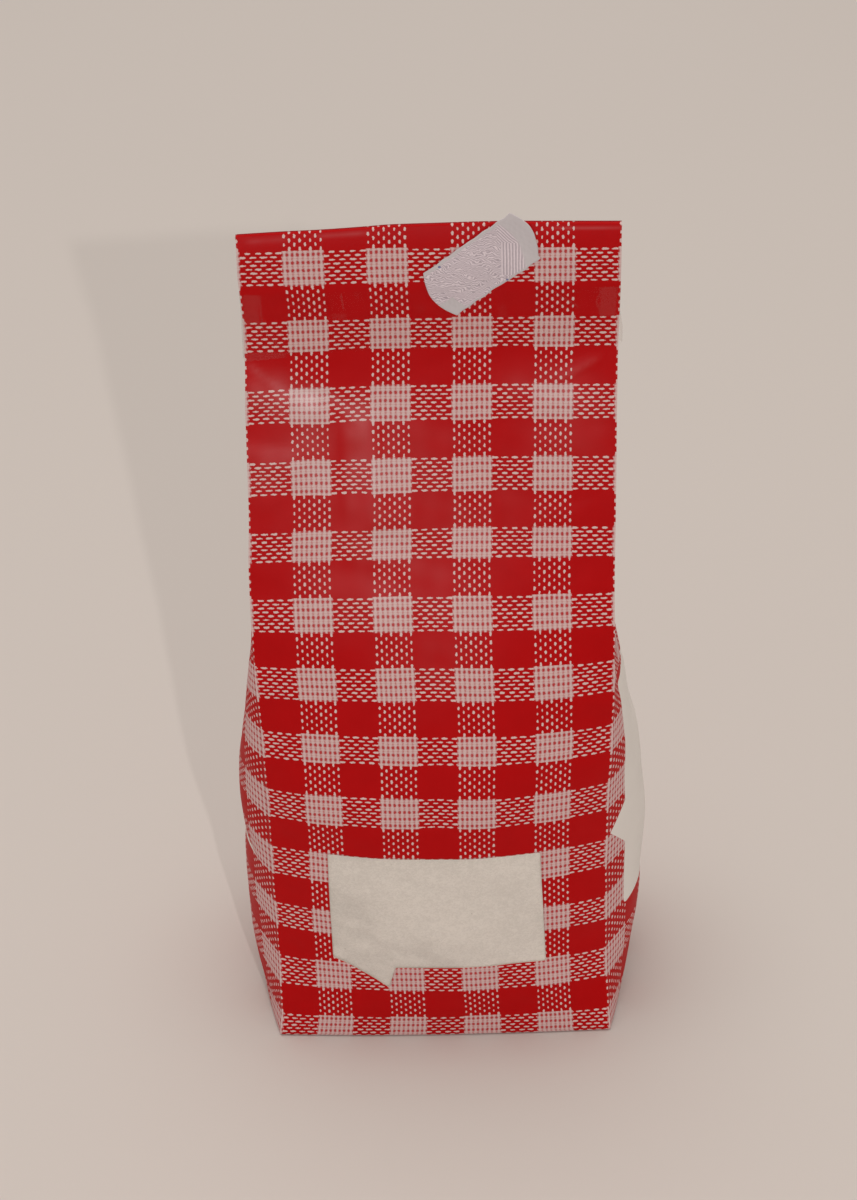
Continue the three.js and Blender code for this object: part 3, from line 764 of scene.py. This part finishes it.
def tape_ring(level):
    """One ring of the tape at its share of the width, from the upper edge."""
    share = np.linspace(-1, 1, TAPE_FRONT)
    droop = TAPE_DROOP * np.clip((-21 - HALF_FRONT * share) / 18, 0, 1)
    upper = TAPE_TOP + TAPE_SLANT * share
    along = upper - (TAPE_WIDTH - 0.4 * (share > 0) + droop) * level
    front = paper(share * PANEL_REPEATS, along + 0.4) - np.array([0, TAPE_OFF, 0])
    front[:, 2] = height_at(along)
    back_share, z = share[::-1], front[::-1, 2]
    start = fold_line(HALF_FRONT * back_share)
    hang = height_at(start) - z
    on_flap = smooth_step(FLAP_HANG + 2.6, FLAP_HANG - 0.1, hang)
    flap_place = wall(back_share * PANEL_REPEATS, start + math.pi * ROLL_RADIUS + np.clip(hang, 0.1, FLAP_HANG))
    back_u = np.sign(back_share) * (ends + PANEL_REPEATS * (1 - np.abs(back_share)))
    back_place = wall(back_u, z + 0.4)
    y = back_place[:, 1] + (flap_place[:, 1] - back_place[:, 1]) * on_flap + TAPE_OFF + TAPE_SLACK * (1 - on_flap)
    back = np.stack([flap_place[:, 0], y, z], -1)

    def side(start, end, reach):
        parts = np.linspace(0, 1, TAPE_SIDE + 2)[1:-1, None]
        places = start + (end - start) * parts
        places[:, 0] += reach * np.sin(math.pi * parts[:, 0]) ** 0.7
        return places

    lift = 0.35 + 0.8 * smooth_step(0.35, 0.8, level)
    right = side(front[-1], back[0], lift)
    left = side(back[-1], front[0], -0.5)
    return np.concatenate([front, right, back, left])


rings = np.stack([tape_ring(level) for level in tape_levels])
round_tape = rings.shape[1]
tape = make_piece("tape_strip", [tuple(p * MM) for p in rings.reshape(-1, 3)], [
    (row * round_tape + k, (row + 1) * round_tape + k,
     (row + 1) * round_tape + (k + 1) % round_tape, row * round_tape + (k + 1) % round_tape)
    for row in range(len(rings) - 1) for k in range(round_tape)])

tape_finish, tone = start_finish("clear tape")
spot = tone.node("ShaderNodeNewGeometry", {}, {})
x, _, z = spot.split()


def hazy(left, right, low, high):
    """1 inside a patch where the tape doesn't stick, between these mm, with a slightly ragged edge."""
    ragged = (spot.noise(260.0, 2.0) - 0.5) * 1.2
    inside = (x / MM - left + ragged).least(right - x / MM + ragged)
    return inside.least(z / MM - low + ragged).least(high - z / MM + ragged).between(-0.1, 0.35)


def stroke(x0, z0, x1, z1, width):
    """1 along a thin straight line in the tape."""
    length = math.hypot(x1 - x0, z1 - z0)
    ux, uz = (x1 - x0) / length, (z1 - z0) / length
    away_x, away_z = x / MM - x0, z / MM - z0
    beyond = abs(away_x * ux + away_z * uz - length / 2).most(length / 2) - length / 2
    return ((away_x * uz - away_z * ux) ** 2 + beyond ** 2).between(width ** 2, 0.0)


HAZY_PATCHES = [
    ((-39.2, -35.6, 197.6, 205.6), 0.5), ((-39.6, -30.5, 186.6, 190.6), 0.45), ((36.0, 39.6, 198.2, 206.0), 0.55),
    ((-20.8, -17.4, 198.4, 200.2), 0.3)]
TAPE_LINES = [
    (-35.6, 205, -35.2, 196.5, 0.3), (-35.2, 196.5, -31.5, 191.5, 0.3), (-39.5, 188.2, -30.0, 190.4, 0.25),
    (36.4, 205, 35.4, 202, 0.35), (35.4, 202, 36.6, 198.4, 0.35), (27, 204.5, 31.5, 200.8, 0.35),
    (31, 191.0, 39.6, 190.8, 0.22), (-18.4, 205.0, -18.0, 201.2, 0.3)]
haze = hazy(*HAZY_PATCHES[0][0]) * HAZY_PATCHES[0][1]
for patch, much in HAZY_PATCHES[1:]:
    haze = haze.most(hazy(*patch) * much)
for line in TAPE_LINES:
    haze = haze.most(stroke(*line) * 0.55)
haze = haze.most(spot.noise(240.0, 3.0).between(0.60, 0.74) * 0.2)
gloss = tone.node("ShaderNodeBsdfPrincipled", {}, {
    "Base Color": rgb(0.55, 0.42, 0.42), "Roughness": 0.25, "Specular IOR Level": 0.5})
clear = tone.node("ShaderNodeBsdfTransparent", {}, {"Color": rgb(0.99, 0.985, 0.98)})
edge_on = tone.node("ShaderNodeFresnel", {}, {"IOR": 1.47})
close_finish(tone, tone.node("ShaderNodeMixShader", {}, {0: edge_on * 0.12 + haze * 0.09, 1: clear, 2: gloss}))
tape.data.materials.append(tape_finish)
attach(tape, "root")
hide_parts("tape")

# ---- the price label
# A small blank label with bowed ends, stuck askew over the tape and the top edge, so that one
# corner stands up above the fold. Its paper is pressed into fine waves inside a plain border.
LABEL_MIDDLE = (11.3, 211.8)
LABEL_TURN, LABEL_LEAN = math.radians(39.6), math.radians(32.4)  # of its length and its breadth
LABEL_LENGTH = 22.9  # without the bowed ends
LABEL_WIDTH = 12.8
LABEL_BOW_LEFT, LABEL_BOW_RIGHT = 2.1, 2.4
LABEL_OFF = 0.42
LABEL_THICKNESS = 0.12
LABEL_LEAVES_AT = 215  # the label's top stands straight up from here
PRESSED_PITCH = 0.46  # mm from line to line
PLAIN_DARK, PLAIN_LIGHT = rgb(0.63, 0.62, 0.67), rgb(0.68, 0.67, 0.72)
# the dark and light ends of the lilac are painted shade and painted highlight along the pressed lines, around the
# label's own lilac tint
LILAC_PAINTED_SHADE, LILAC_PAINTED_HIGHLIGHT = rgb(0.45, 0.40, 0.48), rgb(0.98, 0.91, 1.0)
PEN_BLUE = rgb(0.10, 0.12, 0.35)
PEN_SPECKS = ((2.4, 211.6, 0.35), (16.6, 208.3, 0.3))  # x, z, size
label_columns, label_rows = 96, 54
share_x, share_y = np.meshgrid(np.linspace(-1, 1, label_columns), np.linspace(-1, 1, label_rows))
ends_bow = np.where(
    share_x > 0, LABEL_BOW_RIGHT * (1 - np.abs(share_y - 0.15) ** 1.8), LABEL_BOW_LEFT * (1 - share_y ** 2))
length = share_x * (LABEL_LENGTH / 2 + np.maximum(ends_bow, 0))
breadth = share_y * LABEL_WIDTH / 2
ragged = 0.07 * crumple(length, breadth, 52, 4)
label_x = LABEL_MIDDLE[0] + length * math.cos(LABEL_TURN) - breadth * math.sin(LABEL_LEAN) + ragged
label_z = LABEL_MIDDLE[1] + length * math.sin(LABEL_TURN) + breadth * math.cos(LABEL_LEAN) - ragged
border = np.minimum(1 - np.abs(share_y), (1 - np.abs(share_x)) * 1.8)
pressed = smooth_step(0.10, 0.24, border)
waves = 0.05 * np.sin(length * 5.2 + 1.3 * np.sin(breadth * 1.1)) * np.cos(breadth * 2.3 + 0.9 * np.sin(length * 1.7))
lift = 0.10 * crumple(length, breadth, 51, 9) + waves * pressed - 0.05 * pressed
front = wall(label_x / PRINT_REPEAT, np.minimum(label_z + 0.4, LABEL_LEAVES_AT))
label_y = front[..., 1] - LABEL_OFF - lift
label_places = np.stack([label_x, label_y, label_z], -1).reshape(-1, 3) * MM
label_faces = [
    (start, start + 1, start + label_columns + 1, start + label_columns)
    for row in range(label_rows - 1) for start in range(row * label_columns, (row + 1) * label_columns - 1)]
label = make_piece(
    "label", [tuple(p) for p in label_places], label_faces, np.stack([share_x, share_y], -1).reshape(-1, 2))
label_thickness = label.modifiers.new("label thickness", "SOLIDIFY")
label_thickness.thickness, label_thickness.offset = LABEL_THICKNESS * MM, -1

label_finish, tone = start_finish("label paper")
spot = tone.node("ShaderNodeNewGeometry", {}, {})
mottle, fibre = spot.noise(420.0, 4.0, 0.6), spot.noise(1800.0, 2.0)
x, _, z = spot.split()
# fine pressed lines: wavy on the left, upright on the right, slanting at the top, in a plain border. Besides bumping
# the label, they darken and lighten its lilac in bands: painted shade and highlight of the pressed relief
mark_x, mark_y, _ = tone.node("ShaderNodeUVMap", {"uv_map": "print"}, {}).split()
level_x, level_z = x / MM, z / MM
curl = (spot.noise(170.0, 3.0, 0.6) - 0.5) * 7
wavy = level_z + 0.18 * level_x + curl
upright = (level_x > 15.3) * (level_z < 217.6) * (level_z > 209.5)
slanting = (level_x > 14.5) * (level_z > 217.5)
level = tone.node("ShaderNodeMix", {}, {0: upright, 2: wavy, 3: level_x * 0.72 + 0.05 * curl})
level = tone.node("ShaderNodeMix", {}, {0: slanting, 2: level, 3: (level_x + level_z) * 0.62 + 0.1 * curl})
lines = tone.maths("SINE", level * (math.tau / PRESSED_PITCH)) * 0.5 + 0.5
inside_border = mark_y.between(0.93, 0.84) * mark_y.between(-0.97, -0.88) * mark_x.between(0.73, 0.66)
inside_border = inside_border * (1 - (mark_x < -0.72) * (mark_y < -0.35))
plain_paper = (0.5 * mottle + 0.5 * fibre).blend(PLAIN_DARK, PLAIN_LIGHT)
# painted shade and highlight: the lilac goes darker and lighter along the pressed lines
lilac_and_painted_line_shade = (0.75 * lines + 0.25 * fibre).blend(LILAC_PAINTED_SHADE, LILAC_PAINTED_HIGHLIGHT)
colour = inside_border.blend(plain_paper, lilac_and_painted_line_shade)
for speck_x, speck_z, size in PEN_SPECKS:
    near = (((level_x - speck_x) / size) ** 2 + ((level_z - speck_z) / size) ** 2).between(1.2, 0.5)
    colour = (near * 0.8).blend(colour, PEN_BLUE)
pressed_height = 0.3 * mottle + 0.7 * (lines * inside_border)
label_bump = tone.node("ShaderNodeBump", {}, {"Strength": 0.5, "Distance": 0.00015, "Height": pressed_height})
close_finish(tone, tone.node("ShaderNodeBsdfPrincipled", {}, {
    "Base Color": colour, "Roughness": 0.7, "Specular IOR Level": 0.3, "Normal": label_bump}))
label.data.materials.append(label_finish)
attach(label, "root")
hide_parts("price_label")

# ---- the floor, the light and the camera
# A pale plain floor in soft light from in front, with the camera looking down at the bag.
FLOOR_REACH, FLOOR_LEVEL = 12.0, -0.0001  # metres
FLOOR_DARK, FLOOR_LIGHT = rgb(0.64, 0.64, 0.64), rgb(0.67, 0.67, 0.67)
floor = make_piece("floor", [
    (x * FLOOR_REACH, y * FLOOR_REACH, FLOOR_LEVEL) for x, y in ((-1, -1), (1, -1), (1, 1), (-1, 1))], [(0, 1, 2, 3)])
floor_finish, tone = start_finish("pale floor")
cloud = tone.node("ShaderNodeNewGeometry", {}, {}).noise(3.0, 2.0)
close_finish(tone, tone.node("ShaderNodeBsdfPrincipled", {}, {
    "Base Color": cloud.blend(FLOOR_DARK, FLOOR_LIGHT), "Roughness": 0.7, "Specular IOR Level": 0.1}))
floor.data.materials.append(floor_finish)

world = bpy.data.worlds.new("room")
world.use_nodes = True
room_light = world.node_tree.nodes["Background"]
room_light.inputs["Color"].default_value = rgb(0.61, 0.53, 0.47)
room_light.inputs["Strength"].default_value = 0.66
bpy.context.scene.world = world


def soft_light(name, place, target, size, power, colour, sheen_only=False):
    """A round lamp that the camera doesn't see. One for sheen alone lights nothing but reflections."""
    data = bpy.data.lights.new(name, "AREA")
    data.shape, data.size, data.energy, data.color = "DISK", size, power, colour
    lamp = bpy.data.objects.new(name, data)
    lamp.location = place
    lamp.rotation_euler = (Vector(target) - Vector(place)).to_track_quat("-Z", "Y").to_euler()
    lamp.visible_camera, lamp.visible_diffuse = False, not sheen_only
    bpy.context.scene.collection.objects.link(lamp)


WARM = (1.0, 0.88, 0.79)
soft_light("key light", (0.286, -1.685, 1.277), (0, 0, 0.1), 0.03, 7.4, WARM)
soft_light("large light", (-0.12, 0.05, 1.9), (0, 0, 0.1), 1.5, 17.5, WARM)
soft_light("sheen", (-0.06, -0.52, 0.10), (-0.01, -0.02, 0.16), 0.18, 0.38, (1.0, 0.92, 1.0), True)

# the camera looks at the bag's middle from this far away, and is shifted a little to fit the photo
LOOK_AT = (0, 0, 0.09684)
CAMERA_AZIMUTH, CAMERA_ELEVATION, CAMERA_ROLL = (math.radians(a) for a in (-0.162, 37.267, -1.02))
CAMERA_DISTANCE, CAMERA_RIGHT, CAMERA_UP = 0.965685, -0.001066, 0.009235
back = Vector((
    math.sin(CAMERA_AZIMUTH) * math.cos(CAMERA_ELEVATION),
    -math.cos(CAMERA_AZIMUTH) * math.cos(CAMERA_ELEVATION), math.sin(CAMERA_ELEVATION)))
right = Vector((math.cos(CAMERA_AZIMUTH), math.sin(CAMERA_AZIMUTH), 0))
up = back.cross(right)
eye = Vector(LOOK_AT) + back * CAMERA_DISTANCE + right * CAMERA_RIGHT + up * CAMERA_UP
axis_x = right * math.cos(CAMERA_ROLL) + up * math.sin(CAMERA_ROLL)
axis_y = up * math.cos(CAMERA_ROLL) - right * math.sin(CAMERA_ROLL)
lens = bpy.data.cameras.new("camera")
lens.lens, lens.sensor_width, lens.clip_start, lens.clip_end = 126, 36, 0.05, 20
camera = bpy.data.objects.new("camera", lens)
camera.matrix_world = Matrix((
    (axis_x.x, axis_y.x, back.x, eye.x), (axis_x.y, axis_y.y, back.y, eye.y),
    (axis_x.z, axis_y.z, back.z, eye.z), (0, 0, 0, 1)))
bpy.context.scene.collection.objects.link(camera)
bpy.context.scene.camera = camera
bpy.context.scene.view_settings.view_transform = "Standard"
